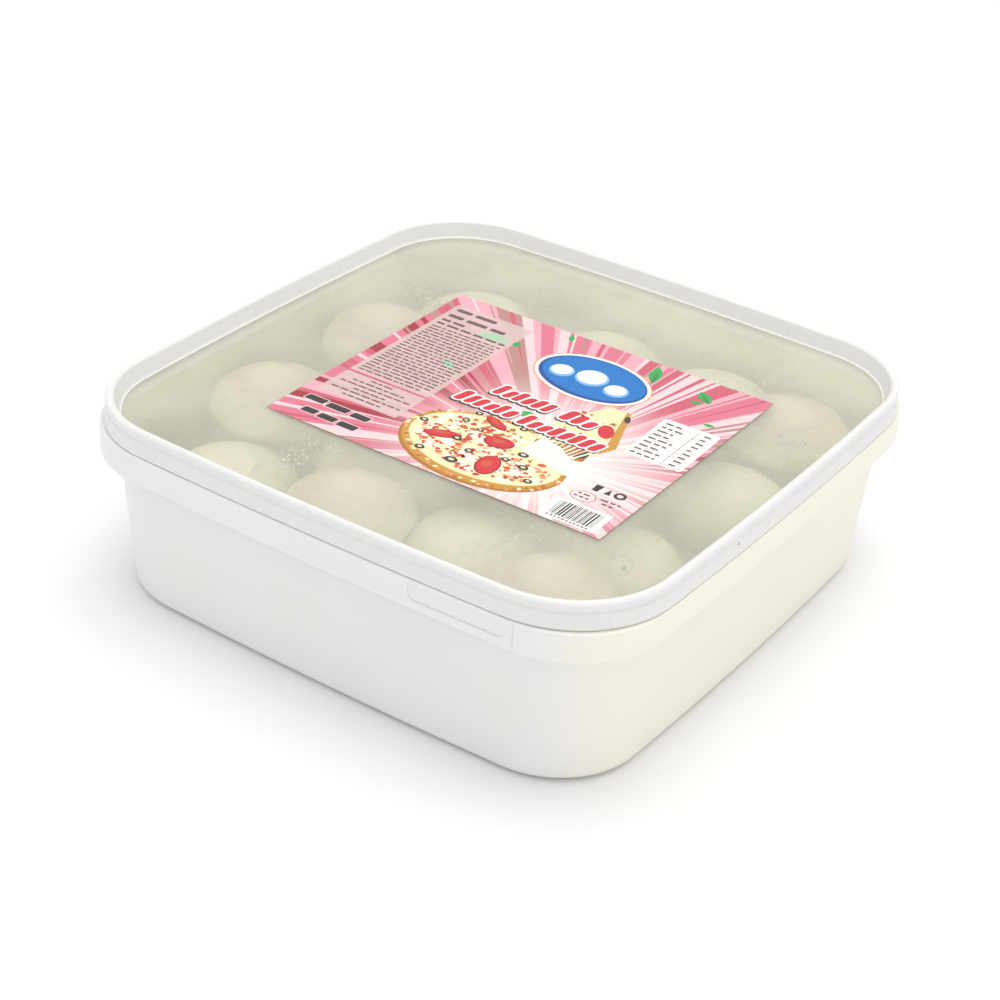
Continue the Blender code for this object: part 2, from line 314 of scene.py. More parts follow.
@dataclass(frozen=True)
class MoistMozzarella:
    """Fresh stretched-curd cheese: pale and moist, with soft uneven gloss and almost no grain."""

    name: str = "mozzarella_moist"
    # Painted light: darker cream near the surface tones down the lit tops; paler cream lower down
    # brightens the shaded flanks.
    shallow: str = "#D6CBBD"
    deep: str = "#FCF7DC"
    cloud: str = "#F8F4EA"
    surface_z: float = 0.0
    fade_mm: float = 20.0
    dapple_mm: float = 14.0
    roughness: float = 0.34

    def build(self) -> bpy.types.Material:
        """Build the material, with painted light: the balls are darker near the brine's surface, where
        the lamps light their tops most, and paler cream deeper down, where their flanks get less light.
        """
        material, tree = new_material(self.name)
        place = add_node(tree, "ShaderNodeTexCoord").outputs["Object"]
        dapple = add_node(tree, "ShaderNodeTexNoise",
                          {"Vector": place, "Scale": 1 / (self.dapple_mm * MM), "Detail": 2.0})
        patchy = add_node(tree, "ShaderNodeMapRange",
                          {"Value": dapple.outputs["Fac"], "From Min": 0.45, "From Max": 0.75,
                           "To Min": 0.0, "To Max": 0.5}).outputs["Result"]
        tint = painted_depth_shading(tree, self.shallow, self.deep, self.surface_z, self.fade_mm)
        colour = add_node(tree, "ShaderNodeMix", {0: patchy, 6: tint, 7: linear(self.cloud)},
                          data_type="RGBA", blend_type="MULTIPLY").outputs[2]
        gloss = add_node(tree, "ShaderNodeMapRange",
                         {"Value": dapple.outputs["Fac"], "From Min": 0.3, "From Max": 0.7,
                          "To Min": self.roughness - 0.08, "To Max": self.roughness + 0.1})
        bump = add_node(tree, "ShaderNodeBump", {"Height": dapple.outputs["Fac"], "Strength": 0.08,
                                                 "Distance": 0.4 * MM})
        shader = add_node(tree, "ShaderNodeBsdfPrincipled",
                          {"Base Color": colour, "Roughness": gloss.outputs["Result"],
                           "Normal": bump.outputs["Normal"], "IOR": 1.4,
                           "Subsurface Weight": 0.18, "Subsurface Scale": 3 * MM,
                           "Subsurface Radius": (1.0, 0.85, 0.6)})
        add_node(tree, "ShaderNodeOutputMaterial", {"Surface": shader.outputs["BSDF"]})
        return material


@dataclass(frozen=True)
class CloudyBrine:
    """Brine: a clear, bending liquid with a faint milky green tint, which lets lamp light in."""

    name: str = "brine_liquid"
    tint: str = "#FEFEF8"
    lamp_tint: str = "#FFFFF8"
    ripple_mm: float = 22.0

    def build(self) -> bpy.types.Material:
        """Build the material, glass for the eye and a tinted opening for lamp light."""
        material, tree = new_material(self.name)
        place = add_node(tree, "ShaderNodeTexCoord").outputs["Object"]
        ripple = add_node(tree, "ShaderNodeTexNoise",
                          {"Vector": place, "Scale": 1 / (self.ripple_mm * MM), "Detail": 1.0})
        bump = add_node(tree, "ShaderNodeBump", {"Height": ripple.outputs["Fac"], "Strength": 0.1,
                                                 "Distance": 0.3 * MM})
        liquid = add_node(tree, "ShaderNodeBsdfPrincipled",
                          {"Base Color": linear(self.tint), "Roughness": 0.03, "IOR": 1.34,
                           "Transmission Weight": 1.0, "Normal": bump.outputs["Normal"]})
        opening = add_node(tree, "ShaderNodeBsdfTransparent", {"Color": linear(self.lamp_tint)})
        rays = add_node(tree, "ShaderNodeLightPath")
        mix = add_node(tree, "ShaderNodeMixShader", {0: rays.outputs["Is Shadow Ray"],
                                                     1: liquid.outputs["BSDF"],
                                                     2: opening.outputs["BSDF"]})
        add_node(tree, "ShaderNodeOutputMaterial", {"Surface": mix.outputs["Shader"]})
        return material


@dataclass(frozen=True)
class Foam:
    """Small bubbles and drops that gather between the balls: grey-green beads and white ones, painted
    glints and painted dark refraction of the drops.
    """

    name: str = "foam_bubbles"
    # Painted light: the white stands in for glints on the drops, the grey-green for their dark
    # refraction.
    colour: str = "#FFFFF8"
    shade: str = "#5E6450"
    roughness: float = 0.12

    def build(self) -> bpy.types.Material:
        """Build the material; noise paints each bubble mostly white or dark grey-green, standing in for
        the glints and the dark refraction of real drops.
        """
        material, tree = new_material(self.name)
        place = add_node(tree, "ShaderNodeTexCoord").outputs["Object"]
        grain = add_node(tree, "ShaderNodeTexNoise", {"Vector": place, "Scale": 1 / (1.5 * MM)})
        share = add_node(tree, "ShaderNodeMapRange", {"Value": grain.outputs["Fac"], "From Min": 0.46,
                                                      "From Max": 0.54})
        colour = add_node(tree, "ShaderNodeMix", {0: share.outputs["Result"], 6: linear(self.colour),
                                                  7: linear(self.shade)},
                          data_type="RGBA").outputs[2]
        shader = add_node(tree, "ShaderNodeBsdfPrincipled",
                          {"Base Color": colour, "Roughness": self.roughness})
        add_node(tree, "ShaderNodeOutputMaterial", {"Surface": shader.outputs["BSDF"]})
        return material


class Ink(Enum):
    """The label's printing inks: a hex colour, and how much each covers what is under it."""

    GROUND = ("#DE8C9A", 1.0)
    PINK = ("#D9768A", 1.0)
    BLUSH = ("#E9A9B4", 1.0)
    PALE = ("#F1CDD0", 1.0)
    ROSE = ("#CC5F70", 1.0)
    DUSTY = ("#B98980", 1.0)
    MAROON = ("#A3363F", 1.0)
    PANEL = ("#EBD0CC", 0.72)
    WHITE = ("#F7F5F0", 1.0)
    TEXT = ("#6E5A59", 1.0)
    BLACK = ("#3A3434", 1.0)
    RED = ("#D0343F", 1.0)
    DARK_RED = ("#9E2A30", 1.0)
    BLUE = ("#1F74C0", 1.0)
    NAVY = ("#1C4E9A", 1.0)
    SKY = ("#7FB6E2", 1.0)
    ORANGE = ("#E39A66", 1.0)
    CRUST = ("#C8943F", 1.0)
    BAKED = ("#B4752F", 1.0)
    CHEESE = ("#F2E3B4", 1.0)
    CREAM = ("#FAF3DC", 1.0)
    SAUCE = ("#CE5A3C", 1.0)
    OLIVE = ("#3F4040", 1.0)
    LEAF = ("#3FA657", 1.0)
    LEAF_DARK = ("#3B8F50", 1.0)
    LEAF_PALE = ("#A9CDAB", 1.0)

    def build(self, burst: Vector) -> bpy.types.Material:
        """Build the ink: gravure print under a satin varnish, whose rays pale towards the burst.

        Args:
            burst: The point on the label that the rays start from, in metres.

        Returns:
            The ink's material.
        """
        colour_hex, cover = self.value
        material, tree = new_material(f"ink_{self.name.lower()}")
        place = add_node(tree, "ShaderNodeTexCoord").outputs["Object"]
        mottle = add_node(tree, "ShaderNodeTexNoise", {"Vector": place, "Scale": 1 / (2.5 * MM),
                                                       "Detail": 2.0})
        share = add_node(tree, "ShaderNodeMapRange", {"Value": mottle.outputs["Fac"], "To Max": 0.12})
        lighter = tuple(min(1.0, channel * 1.25 + 0.02) for channel in linear(colour_hex)[:3])
        colour = add_node(tree, "ShaderNodeMix", {0: share.outputs["Result"],
                                                  6: linear(colour_hex), 7: (*lighter, 1.0)},
                          data_type="RGBA").outputs[2]
        if self in RAY_INKS:
            reach = add_node(tree, "ShaderNodeVectorMath", {0: place, 1: burst},
                             operation="DISTANCE").outputs["Value"]
            glow = add_node(tree, "ShaderNodeMapRange",
                            {"Value": reach, "From Min": 12 * MM, "From Max": 75 * MM,
                             "To Min": 0.9, "To Max": 0.0},
                            interpolation_type="SMOOTHSTEP").outputs["Result"]
            colour = add_node(tree, "ShaderNodeMix", {0: glow, 6: colour, 7: linear("#FBF1EC")},
                              data_type="RGBA").outputs[2]
        shader = add_node(tree, "ShaderNodeBsdfPrincipled",
                          {"Base Color": colour, "Roughness": 0.42, "Alpha": cover, "IOR": 1.45})
        add_node(tree, "ShaderNodeOutputMaterial", {"Surface": shader.outputs["BSDF"]})
        return material


RAY_INKS = (Ink.GROUND, Ink.PINK, Ink.BLUSH, Ink.PALE, Ink.ROSE, Ink.DUSTY, Ink.MAROON)


@dataclass(frozen=True)
class StudioPaper:
    """Pale seamless paper that the tub stands on: matt, with a trace of cloud."""

    name: str = "studio_paper"
    colour: str = "#F6F6F6"
    shade: str = "#F2F2F2"
    cloud_m: float = 1 / 3

    def build(self) -> bpy.types.Material:
        """Build the material."""
        material, tree = new_material(self.name)
        place = add_node(tree, "ShaderNodeTexCoord").outputs["Object"]
        cloud = add_node(tree, "ShaderNodeTexNoise", {"Vector": place, "Scale": 1 / self.cloud_m})
        colour = add_node(tree, "ShaderNodeMix", {0: cloud.outputs["Fac"], 6: linear(self.colour),
                                                  7: linear(self.shade)},
                          data_type="RGBA").outputs[2]
        shader = add_node(tree, "ShaderNodeBsdfPrincipled", {"Base Color": colour, "Roughness": 0.9,
                                                             "Specular IOR Level": 0.1})
        add_node(tree, "ShaderNodeOutputMaterial", {"Surface": shader.outputs["BSDF"]})
        return material


# ------------------------------------------------------------------------------- rounded squares
class Zone(Enum):
    """Which finish a stretch of a moulded section takes."""

    OUTSIDE = 0
    INSIDE = 1


@dataclass(frozen=True)
class Section:
    """One rounded square of a loft: half width, corner radius and height in mm, and its zone."""

    half: float
    corner: float
    z: float
    zone: Zone = Zone.OUTSIDE

    def towards(self, other: "Section", distance: float) -> "Section":
        """The section a distance in mm along the straight profile towards another one."""
        run = math.hypot(other.half - self.half, other.z - self.z)
        return self.mixed(other, distance / run)

    def mixed(self, other: "Section", share: float) -> "Section":
        """The section a share of the way to another one, in this one's zone."""
        return Section(self.half + (other.half - self.half) * share,
                       self.corner + (other.corner - self.corner) * share,
                       self.z + (other.z - self.z) * share, self.zone)

    def gap(self, other: "Section") -> float:
        """How far the profile runs to another section, in mm."""
        return math.hypot(other.half - self.half, other.z - self.z)


def soften(profile: list[Section], radius: float, steps: int = 3) -> list[Section]:
    """Round the corners of a profile, as a mould's edges are.

    Args:
        profile: Sections in order along the surface.
        radius: How far from each corner the rounding starts, in mm, where there is room.
        steps: Stretches that each rounding is drawn with.

    Returns:
        The profile with each inner corner drawn as a short curve.
    """
    rounded = [profile[0]]
    for before, here, after in zip(profile, profile[1:], profile[2:]):
        reach = min(radius, 0.42 * here.gap(before), 0.42 * here.gap(after))
        start = here.towards(before, reach)
        end = here.towards(after, reach)
        for step in range(steps + 1):
            share = step / steps
            rounded.append(start.mixed(here, share).mixed(here.mixed(end, share), share))
    rounded.append(profile[-1])
    return rounded


@dataclass(frozen=True)
class RoundedSquare:
    """The plan that every moulded section shares: round corners, and sides that swell outwards."""

    bow_mm: float
    corner_steps: int = 14
    side_steps: int = 16

    def points(self, section: Section) -> list[Vector]:
        """Points of one section.

        Args:
            section: The rounded square to draw.

        Returns:
            Its points, anticlockwise, in metres.
        """
        core = section.half - self.bow_mm / 2 - section.corner
        points = []
        for quarter in range(4):
            turn = Matrix.Rotation(quarter * math.pi / 2, 4, "Z")
            for step in range(self.corner_steps + 1):
                angle = math.pi / 2 * step / self.corner_steps
                points.append(turn @ Vector((core + section.corner * math.cos(angle),
                                             core + section.corner * math.sin(angle), section.z)))
            for step in range(1, self.side_steps):
                along = 1.0 - 2.0 * step / self.side_steps
                swell = self.bow_mm * (1.0 - along * along)
                points.append(turn @ Vector((core * along, core + section.corner + swell,
                                             section.z)))
        return [point * MM for point in points]

    def loft(self, profile: list[Section]) -> bmesh.types.BMesh:
        """Join the sections of a profile and close both ends; faces take their zone's slot.

        Args:
            profile: The sections, in order.

        Returns:
            The closed mesh, in metres.
        """
        bm = bmesh.new()
        rings = [[bm.verts.new(point) for point in self.points(section)] for section in profile]
        for lower, upper, first, second in zip(rings, rings[1:], profile, profile[1:]):
            count = len(lower)
            slot = min(first.zone.value, second.zone.value)
            for index in range(count):
                after = (index + 1) % count
                face = bm.faces.new((lower[index], lower[after], upper[after], upper[index]))
                face.material_index = slot
        bm.faces.new(list(reversed(rings[0]))).material_index = profile[0].zone.value
        bm.faces.new(rings[-1]).material_index = profile[-1].zone.value
        bmesh.ops.recalc_face_normals(bm, faces=bm.faces)
        return bm

    def side_face(self, x: float, section: Section) -> float:
        """Y of the -Y side's face.

        Args:
            x: Where along the side, in mm.
            section: The section whose side it is.

        Returns:
            The face's y, in mm.
        """
        core = section.half - self.bow_mm / 2 - section.corner
        return -(core + section.corner + self.bow_mm * (1.0 - (x / core) ** 2))


def block(size: tuple[float, float, float], corner: float = 0.0) -> bmesh.types.BMesh:
    """A box in mm round the origin whose edges along Y are rounded.

    Args:
        size: Its sides.
        corner: The radius of those edges.

    Returns:
        The box, in metres.
    """
    bm = bmesh.new()
    bmesh.ops.create_cube(bm, size=1.0)
    bmesh.ops.transform(bm, matrix=Matrix.Diagonal((*(side * MM for side in size), 1.0)),
                        verts=bm.verts)
    if corner:
        edges = [edge for edge in bm.edges
                 if abs((edge.verts[1].co - edge.verts[0].co).y) > 0.9 * size[1] * MM]
        bmesh.ops.bevel(bm, geom=edges, offset=corner * MM, segments=8, profile=0.5,
                        affect="EDGES", clamp_overlap=True)
    return bm


def carve(piece: bpy.types.Object, cutters: list[bmesh.types.BMesh]) -> None:
    """Cut shapes out of a piece and keep the result as its own mesh.

    Args:
        piece: The piece that is cut.
        cutters: Closed shapes in metres; they are used up.
    """
    tools = []
    for index, cutter in enumerate(cutters):
        mesh = bpy.data.meshes.new(f"cutter_{index}")
        cutter.to_mesh(mesh)
        cutter.free()
        tool = bpy.data.objects.new(mesh.name, mesh)
        bpy.context.scene.collection.objects.link(tool)
        modifier = piece.modifiers.new(mesh.name, "BOOLEAN")
        modifier.operation = "DIFFERENCE"
        modifier.solver = "EXACT"
        modifier.object = tool
        tools.append(tool)
    graph = bpy.context.evaluated_depsgraph_get()
    result = bpy.data.meshes.new_from_object(piece.evaluated_get(graph))
    piece.modifiers.clear()
    piece.data = result
    for tool in tools:
        bpy.data.objects.remove(tool, do_unlink=True)


# ------------------------------------------------------------------------------- the tub and lid
@dataclass
class Tub:
    """The tub: tapered walls, a flange with a hanging collar, and a tear-off tab."""

    plan: RoundedSquare
    half_mm: float
    rim_top_mm: float
    contacts: tuple[tuple[float, float, float], ...]
    brine_z: float
    wall_mm: float = 1.5
    base_half_mm: float = 120.4
    neck_half_mm: float = 125.2
    base_edge_mm: float = 5.0
    skirt_bottom_mm: float = 63.0
    flange_top_mm: float = 75.4
    skirt_corner_mm: float = 40.7
    neck_corner_mm: float = 38.5
    base_corner_mm: float = 36.7
    rim_corner_mm: float = 43.0
    tab_mm: tuple[float, float, float, float] = (45.7, 87.8, 66.6, 74.0)
    slit_mm: float = 91.3
    tab_depth_mm: float = 0.55

    def wall_half(self, z: float, inset: float) -> float:
        """Half width of the tapered wall.

        Args:
            z: The height, in mm.
            inset: How far inside the wall's outer face, in mm.

        Returns:
            The half width, in mm.
        """
        top = self.flange_top_mm - self.wall_mm
        share = (z - self.base_edge_mm) / (top - self.base_edge_mm)
        return self.base_half_mm + (self.neck_half_mm - self.base_half_mm) * share - inset

    def profile(self) -> list[Section]:
        """The wall's section, up the outside, over the rim and down the inside."""
        outer = self.half_mm
        inner = outer - 1.3
        rim = outer - 1.8
        edge = self.base_edge_mm
        sections = []
        for step in range(9):
            angle = math.radians(-90 + 90 * step / 8)
            sections.append(Section(self.base_half_mm - edge + edge * math.cos(angle),
                                    self.base_corner_mm, edge + edge * math.sin(angle)))
        top = self.flange_top_mm
        low = self.skirt_bottom_mm
        hang = soften([
            sections[-1],
            Section(self.neck_half_mm, self.neck_corner_mm, top - self.wall_mm),
            Section(inner - 0.2, self.skirt_corner_mm, top - self.wall_mm),
            Section(inner, self.skirt_corner_mm, low),
            Section(outer, self.skirt_corner_mm, low),
            Section(outer, self.skirt_corner_mm, top),
            Section(rim, self.rim_corner_mm, top),
            Section(rim, self.rim_corner_mm, self.rim_top_mm),
            Section(rim - 1.0, self.rim_corner_mm - 0.5, self.rim_top_mm),
            Section(rim - 1.0, self.rim_corner_mm - 0.5, top + 1.2),
            Section(self.wall_half(top - 2.0, self.wall_mm), self.neck_corner_mm, top - 2.0,
                    Zone.INSIDE),
            Section(self.wall_half(edge + self.wall_mm, self.wall_mm), self.base_corner_mm,
                    edge + self.wall_mm, Zone.INSIDE),
        ], 0.5)
        floor_edge = edge - 0.2
        floor = []
        for step in range(6):
            angle = math.radians(-90 * (step + 1) / 6)
            floor.append(Section(self.base_half_mm - self.wall_mm - floor_edge
                                 + floor_edge * math.cos(angle), self.base_corner_mm - 1.0,
                                 self.wall_mm + floor_edge + floor_edge * math.sin(angle),
                                 Zone.INSIDE))
        return sections[:-1] + hang + floor

    def face_cutter(self, left: float, right: float, bottom: float, top: float, depth: float,
                    corner: float = 0.0) -> bmesh.types.BMesh:
        """A cutter that sinks into the collar's bowed -Y face.

        Args:
            left: Its lower x, in mm.
            right: Its upper x.
            bottom: Its lower z.
            top: Its upper z.
            depth: How far it sinks in.
            corner: The radius of its corners.

        Returns:
            The cutter, in metres.
        """
        reach = 4.0
        face = Section(self.half_mm, self.skirt_corner_mm, 0.0)
        start = self.plan.side_face(left, face)
        end = self.plan.side_face(right, face)
        bm = block((right - left, reach, top - bottom), corner)
        centre = Vector(((left + right) / 2, (start + end) / 2 + depth - reach / 2,
                         (bottom + top) / 2)) * MM
        turn = Matrix.Rotation(math.atan2(end - start, right - left), 4, "Z")
        bmesh.ops.transform(bm, matrix=Matrix.Translation(centre) @ turn, verts=bm.verts)
        return bm

    def tab_cutters(self) -> list[bmesh.types.BMesh]:
        """Cutters for the tab: a sunken panel, a torn-open slot under it with bridges, a slit."""
        left, right, bottom, top = self.tab_mm
        cutters = [self.face_cutter(left, right, bottom, top, self.tab_depth_mm, 3.2)]
        bridges = (left + 3.4, left + 7.9, left + 21.5, left + 36.3, right - 2.6)
        for start, end in zip(bridges, bridges[1:]):
            cutters.append(self.face_cutter(start + 0.5, end - 0.5, bottom - 0.1, bottom + 0.4,
                                            self.tab_depth_mm + 0.2))
        cutters.append(self.face_cutter(self.slit_mm - 0.2, self.slit_mm + 0.2, bottom - 1.2,
                                        self.flange_top_mm + 1.0, 0.35))
        return cutters

    def build(self) -> bpy.types.Object:
        """Build the tub in its two finishes and carve its tab."""
        outside = MouldedPolypropylene(contacts=self.contacts).build()
        inside = DepthShadedPolypropylene(surface_z=self.brine_z).build()
        bm = self.plan.loft(self.profile())
        piece = mesh_object("tub_moulded", bm, [outside, inside], 35.0)
        carve(piece, self.tab_cutters())
        place_piece(piece, "white_polypropylene", "tub")
        return piece


@dataclass
class Lid:
    """The press-on lid: a rim channel with a lip and a groove, round a sunken panel."""

    plan: RoundedSquare
    half_mm: float
    height_mm: float
    lip_mm: float
    corner_mm: float = 45.0
    panel_depth_mm: float = 8.0
    panel_thick_mm: float = 1.2
    rim_top_mm: float = 84.6

    def profile(self) -> list[Section]:
        """The section, from the panel's underside out round the rim and back over the panel."""
        half, corner, top, lip = self.half_mm, self.corner_mm, self.height_mm, self.lip_mm
        panel = top - self.panel_depth_mm
        under = panel - self.panel_thick_mm
        channel = half - 2.75
        sections = [
            Section(channel - 8.0, corner - 9.0, under, Zone.INSIDE),
            Section(channel - 1.9, corner - 4.7, under, Zone.INSIDE),
            Section(channel, corner - 3.0, self.rim_top_mm + 0.4),
            Section(half - 0.95, corner - 1.3, self.rim_top_mm + 0.7),
            Section(half - 0.95, corner - 1.0, lip),
            Section(half + 0.4, corner, lip),
            Section(half + 0.35, corner, lip + 1.3),
            Section(half, corner, lip + 1.9),
            Section(half - 0.05, corner, top - 5.3),
            Section(half - 0.45, corner, top - 4.8),
            Section(half - 0.45, corner, top - 4.0),
            Section(half - 0.05, corner, top - 3.5),
            Section(half - 0.05, corner, top - 1.2),
            Section(half - 0.9, corner - 0.5, top - 0.1),
            Section(half - 2.3, corner - 1.7, top - 0.05),
            Section(half - 3.6, corner - 3.2, top - 0.9),
            Section(half - 5.5, corner - 5.0, panel + 0.7),
            Section(half - 6.6, corner - 5.8, panel, Zone.INSIDE),
            Section(half - 12.0, corner - 10.0, panel, Zone.INSIDE),
        ]
        return soften(sections, 0.45)

    def build(self) -> bpy.types.Object:
        """Build the lid: a hazier rim round a clearer, fogged panel."""
        rim = NaturalPolypropylene("lid_rim_polypropylene", colour="#FAFAF9", haze=0.76,
                                   roughness=0.26).build()
        panel = NaturalPolypropylene("lid_panel_polypropylene", colour="#F2EFDC", haze=0.32,
                                     haze_spread=0.05, far_haze=0.06).build()
        piece = mesh_object("lid_moulded", self.plan.loft(self.profile()), [rim, panel], 35.0)
        place_piece(piece, "natural_polypropylene", "lid")
        return piece


# ------------------------------------------------------------------------------- the contents
@dataclass
class CheeseBall:
    """One ball: an egg-like round with the low swells and the fold of a ball pinched off by hand."""

    node: str
    seed: int
    material: bpy.types.Material
    subdivisions: int = 5
    swell_mm: float = 0.9
    fold_mm: float = 0.7

    def build(self) -> bpy.types.Object:
        """Build the ball in its packed box."""
        low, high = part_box(self.node)
        centre = (low + high) / 2
        half = (high - low) / 2
        rng = random.Random(self.seed)
        offset = Vector([rng.uniform(-20, 20) for _ in range(3)])
        egg = rng.uniform(-0.07, 0.07)
        knot = Vector((rng.uniform(-1, 1), rng.uniform(-1, 1), rng.uniform(-0.3, 0.2))).normalized()
        bm = bmesh.new()
        bmesh.ops.create_icosphere(bm, subdivisions=self.subdivisions, radius=1.0)
        for vert in bm.verts:
            ray = vert.co.normalized()
            swell = noise.noise(ray * 1.3 + offset) * self.swell_mm * MM
            near = max(0.0, ray.dot(knot) - 0.86) / 0.14
            crease = math.sin(near * math.pi) * self.fold_mm * MM
            widen = 1.0 + egg * ray.x
            point = Vector((ray.x * half.x, ray.y * half.y * widen, ray.z * half.z * widen))
            vert.co = centre + point + ray * (swell - crease)
        return mesh_object(f"{self.node}_round", bm, [self.material], 180.0)


@dataclass
class Contents:
    """The balls, the brine round them and the bubbles between them."""

    plan: RoundedSquare
    tub: Tub
    nodes: list[str]
    brine_z: float

    def build_balls(self) -> list[bpy.types.Object]:
        """Build each ball in its place."""
        material = MoistMozzarella(surface_z=self.brine_z).build()
        balls = []
        for seed, node in enumerate(self.nodes):
            piece = CheeseBall(node, seed, material).build()
            place_piece(piece, "mozzarella", node)
            balls.append(piece)
        return balls

    def build_brine(self) -> bpy.types.Object:
        """Build the brine, which reaches just into the tub's wall so that no air gap shows."""
        level = self.brine_z / MM
        wall = self.tub.wall_mm
        into = wall - 0.6
        edge = self.tub.base_edge_mm
        low = wall - 0.5
        profile = [
            Section(self.tub.base_half_mm - edge - 1.0, 33.0, low),
            Section(self.tub.base_half_mm - 2.6, 35.5, low + 1.8),
            Section(self.tub.wall_half(edge + 2.0, into), 36.0, edge + 2.0),
            Section(self.tub.wall_half(level, into), 37.8, level),
        ]
        piece = mesh_object("brine_liquid", self.plan.loft(profile), [CloudyBrine().build()], 30.0)
        place_piece(piece, "cloudy_brine", "brine")
        return piece

    def build_bubbles(self, count: int = 4500) -> bpy.types.Object:
        """Scatter bubbles on the brine, thickest close to the balls and clear of their tops.

        Args:
            count: How many bubbles there are.

        Returns:
            The bubbles, joined in one mesh.
        """
        rng = random.Random(11)
        rounds = []
        for node in self.nodes:
            low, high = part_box(node)
            rounds.append(((low + high) / 2, (high - low) / 2))
        reach = self.tub.wall_half(self.brine_z / MM, self.tub.wall_mm + 2.0) * MM
        corner = 34 * MM
        drop = bmesh.new()
        bmesh.ops.create_icosphere(drop, subdivisions=1, radius=1.0)
        shell = [vert.co.copy() for vert in drop.verts]
        sides = [[vert.index for vert in face.verts] for face in drop.faces]
        drop.free()
        bm = bmesh.new()
        placed = 0
        while placed < count:
            x, y = rng.uniform(-reach, reach), rng.uniform(-reach, reach)
            over = Vector((max(0.0, abs(x) - reach + corner), max(0.0, abs(y) - reach + corner)))
            if over.length > corner:
                continue
            near, second = sorted(math.hypot((x - c.x) / h.x, (y - c.y) / h.y)
                                  for c, h in rounds)[:2]
            if near < 0.86 or second > 1.5 or rng.random() > math.exp(-abs(near - 1.05) / 0.12):
                continue
            size = rng.uniform(0.25, 0.6) * MM
            middle = Vector((x, y, self.brine_z + 0.6 * size))
            verts = [bm.verts.new(middle + point * size) for point in shell]
            for side in sides:
                bm.faces.new([verts[index] for index in side])
            placed += 1
        piece = mesh_object("brine_bubbles", bm, [Foam().build()], 180.0)
        place_piece(piece, "cloudy_brine")
        return piece

    def build(self) -> None:
        """Build all that the tub holds."""
        self.build_balls()
        self.build_brine()
        self.build_bubbles()


# ------------------------------------------------------------------------------- the label
def ellipse(u: float, v: float, wide: float, deep: float, turn: float = 0.0,
            points: int = 40) -> Outline:
    """An ellipse on the label.

    Args:
        u: Its middle along the label, in mm.
        v: Its middle across the label.
        wide: Its first half axis.
        deep: Its second half axis.
        turn: Degrees anticlockwise.
        points: How many points it has.

    Returns:
        The outline.
    """
    cos, sin = math.cos(math.radians(turn)), math.sin(math.radians(turn))
    outline = []
    for index in range(points):
        angle = 2 * math.pi * index / points
        a, b = wide * math.cos(angle), deep * math.sin(angle)
        outline.append((u + a * cos - b * sin, v + a * sin + b * cos))
    return outline


def bar(left: float, bottom: float, right: float, top: float, corner: float = 0.0,
        slant: float = 0.0, turn: float = 0.0) -> Outline:
    """A bar with round corners, slanted like italic type and turned about its middle, in mm.

    Args:
        left: Left side.
        bottom: Lower side.
        right: Right side.
        top: Upper side.
        corner: Radius of the corners.
        slant: How far the top leans to the right of the bottom.
        turn: Degrees anticlockwise about the bar's middle.

    Returns:
        The outline, anticlockwise.
    """
    outline = []
    steps = 5 if corner else 0
    for index, (x, y) in enumerate(((right, top), (left, top), (left, bottom), (right, bottom))):
        cx = x - corner if x == right else x + corner
        cy = y - corner if y == top else y + corner
        for step in range(steps + 1):
            angle = math.pi / 2 * (index + (step / steps if steps else 0.5))
            reach = corner if steps else 0.0
            outline.append((cx + reach * math.cos(angle), cy + reach * math.sin(angle)))
    middle_u, middle_v = (left + right) / 2, (bottom + top) / 2
    cos, sin = math.cos(math.radians(turn)), math.sin(math.radians(turn))
    turned = []
    for u, v in outline:
        lean = u + slant * ((v - bottom) / (top - bottom) - 0.5) - middle_u
        turned.append((middle_u + lean * cos - (v - middle_v) * sin,
                       middle_v + lean * sin + (v - middle_v) * cos))
    return turned


def leaf(u: float, v: float, long: float, wide: float, turn: float) -> Outline:
    """A pointed leaf on the label.

    Args:
        u: Its middle along the label, in mm.
        v: Its middle across the label.
        long: Its length.
        wide: Its greatest width.
        turn: Degrees anticlockwise.

    Returns:
        The outline.
    """
    cos, sin = math.cos(math.radians(turn)), math.sin(math.radians(turn))
    outline = []
    steps = 10
    for side in (1, -1):
        for step in range(steps):
            along = (step / steps - 0.5) * side
            across = side * wide / 2 * math.cos(math.pi * along) ** 0.8
            outline.append((u - long * along * cos + across * sin,
                            v - long * along * sin - across * cos))
    return outline


def blob(u: float, v: float, radius: float, rng: random.Random, points: int = 11) -> Outline:
    """An uneven round patch on the label.

    Args:
        u: Its middle along the label, in mm.
        v: Its middle across the label.
        radius: Its usual reach.
        rng: The source of its unevenness.
        points: How many points it has.

    Returns:
        The outline.
    """
    outline = []
    for index in range(points):
        angle = 2 * math.pi * index / points
        reach = radius * rng.uniform(0.72, 1.2)
        outline.append((u + reach * math.cos(angle), v + 0.8 * reach * math.sin(angle)))
    return outline


